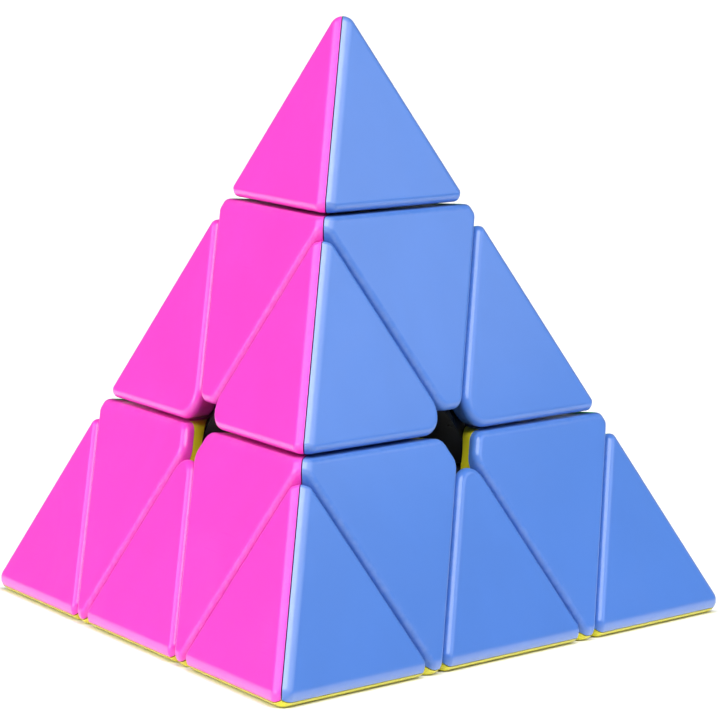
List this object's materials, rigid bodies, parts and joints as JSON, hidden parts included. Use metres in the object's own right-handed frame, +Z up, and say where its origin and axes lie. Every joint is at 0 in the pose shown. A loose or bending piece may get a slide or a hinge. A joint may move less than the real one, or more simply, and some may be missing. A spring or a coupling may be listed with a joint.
{
  "type": "pyramid twisty puzzle",
  "caption": "Tetrahedral turning puzzle in plain coloured plastic: corner pieces with clip-on tips and edge pieces turn about a sprung core.",
  "frame": {"origin": "centre of the puzzle, where the four turning axes meet; the bottom face rests 20 mm below it", "axes": "+Z up through the top corner, -Y towards the front corner, +X towards the right"},
  "size_m": [0.0934, 0.0813, 0.0768],
  "materials": {
    "pink_plastic": "bright pink ABS, smooth satin gloss",
    "blue_plastic": "cornflower blue ABS, smooth satin gloss",
    "yellow_plastic": "yellow ABS, smooth satin gloss",
    "green_plastic": "green ABS, smooth satin gloss",
    "inner_plastic": "black acetal, moulded",
    "steel": "zinc-plated steel"
  },
  "bodies": {
    "core": {"core": "inner_plastic", "corner_screws": "steel", "corner_springs": "steel", "corner_washers": "steel"},
    "top_corner": {"top_hub": "yellow_plastic", "top_cap_green": "green_plastic", "top_cap_pink": "pink_plastic", "top_cap_blue": "blue_plastic"},
    "top_tip": {"top_tip_frame": "inner_plastic", "top_tip_green": "green_plastic", "top_tip_pink": "pink_plastic", "top_tip_blue": "blue_plastic"},
    "front_corner": {"front_hub": "yellow_plastic", "front_cap_yellow": "yellow_plastic", "front_cap_pink": "pink_plastic", "front_cap_blue": "blue_plastic"},
    "front_tip": {"front_tip_frame": "inner_plastic", "front_tip_yellow": "yellow_plastic", "front_tip_pink": "pink_plastic", "front_tip_blue": "blue_plastic"},
    "right_corner": {"right_hub": "yellow_plastic", "right_cap_yellow": "yellow_plastic", "right_cap_green": "green_plastic", "right_cap_blue": "blue_plastic"},
    "right_tip": {"right_tip_frame": "inner_plastic", "right_tip_yellow": "yellow_plastic", "right_tip_green": "green_plastic", "right_tip_blue": "blue_plastic"},
    "left_corner": {"left_hub": "yellow_plastic", "left_cap_yellow": "yellow_plastic", "left_cap_green": "green_plastic", "left_cap_pink": "pink_plastic"},
    "left_tip": {"left_tip_frame": "inner_plastic", "left_tip_yellow": "yellow_plastic", "left_tip_green": "green_plastic", "left_tip_pink": "pink_plastic"},
    "front_top_edge": {"front_top_foot": "inner_plastic", "front_top_cap_pink": "pink_plastic", "front_top_cap_blue": "blue_plastic"},
    "right_top_edge": {"right_top_foot": "inner_plastic", "right_top_cap_green": "green_plastic", "right_top_cap_blue": "blue_plastic"},
    "left_top_edge": {"left_top_foot": "inner_plastic", "left_top_cap_green": "green_plastic", "left_top_cap_pink": "pink_plastic"},
    "front_right_edge": {"front_right_foot": "inner_plastic", "front_right_cap_yellow": "yellow_plastic", "front_right_cap_blue": "blue_plastic"},
    "back_edge": {"back_foot": "inner_plastic", "back_cap_yellow": "yellow_plastic", "back_cap_green": "green_plastic"},
    "front_left_edge": {"front_left_foot": "inner_plastic", "front_left_cap_yellow": "yellow_plastic", "front_left_cap_pink": "pink_plastic"}
  },
  "joints": [
    {"name": "top_turn", "type": "hinge", "parent": "core", "child": "top_corner", "pos_m": [0, 0, 0], "axis": [0, 0, 1], "range_deg": [-240, 120]},
    {"name": "top_tip_turn", "type": "hinge", "parent": "top_corner", "child": "top_tip", "pos_m": [0, 0, 0], "axis": [0, 0, 1], "continuous": true},
    {"name": "front_turn", "type": "hinge", "parent": "core", "child": "front_corner", "pos_m": [0, 0, 0], "axis": [0, -0.9428, -0.3333], "range_deg": [-240, 120]},
    {"name": "front_tip_turn", "type": "hinge", "parent": "front_corner", "child": "front_tip", "pos_m": [0, 0, 0], "axis": [0, -0.9428, -0.3333], "continuous": true},
    {"name": "right_turn", "type": "hinge", "parent": "core", "child": "right_corner", "pos_m": [0, 0, 0], "axis": [0.8165, 0.4714, -0.3333], "range_deg": [-240, 120]},
    {"name": "right_tip_turn", "type": "hinge", "parent": "right_corner", "child": "right_tip", "pos_m": [0, 0, 0], "axis": [0.8165, 0.4714, -0.3333], "continuous": true},
    {"name": "left_turn", "type": "hinge", "parent": "core", "child": "left_corner", "pos_m": [0, 0, 0], "axis": [-0.8165, 0.4714, -0.3333], "range_deg": [-240, 120]},
    {"name": "left_tip_turn", "type": "hinge", "parent": "left_corner", "child": "left_tip", "pos_m": [0, 0, 0], "axis": [-0.8165, 0.4714, -0.3333], "continuous": true},
    {"name": "front_top_with_front", "type": "hinge", "parent": "top_corner", "child": "front_top_edge", "pos_m": [0, 0, 0], "axis": [0, -0.9428, -0.3333], "range_deg": [-240, 120]},
    {"name": "right_top_with_right", "type": "hinge", "parent": "top_corner", "child": "right_top_edge", "pos_m": [0, 0, 0], "axis": [0.8165, 0.4714, -0.3333], "range_deg": [-240, 120]},
    {"name": "left_top_with_left", "type": "hinge", "parent": "top_corner", "child": "left_top_edge", "pos_m": [0, 0, 0], "axis": [-0.8165, 0.4714, -0.3333], "range_deg": [-240, 120]},
    {"name": "front_right_with_right", "type": "hinge", "parent": "front_corner", "child": "front_right_edge", "pos_m": [0, 0, 0], "axis": [0.8165, 0.4714, -0.3333], "range_deg": [-240, 120]},
    {"name": "back_with_left", "type": "hinge", "parent": "right_corner", "child": "back_edge", "pos_m": [0, 0, 0], "axis": [-0.8165, 0.4714, -0.3333], "range_deg": [-240, 120]},
    {"name": "front_left_with_front", "type": "hinge", "parent": "left_corner", "child": "front_left_edge", "pos_m": [0, 0, 0], "axis": [0, -0.9428, -0.3333], "range_deg": [-240, 120]}
  ],
  "couplings": [
    {"joint": "front_top_with_front", "follows": "front_turn", "ratio": 1},
    {"joint": "right_top_with_right", "follows": "right_turn", "ratio": 1},
    {"joint": "left_top_with_left", "follows": "left_turn", "ratio": 1},
    {"joint": "front_right_with_right", "follows": "right_turn", "ratio": 1},
    {"joint": "back_with_left", "follows": "left_turn", "ratio": 1},
    {"joint": "front_left_with_front", "follows": "front_turn", "ratio": 1}
  ]
}
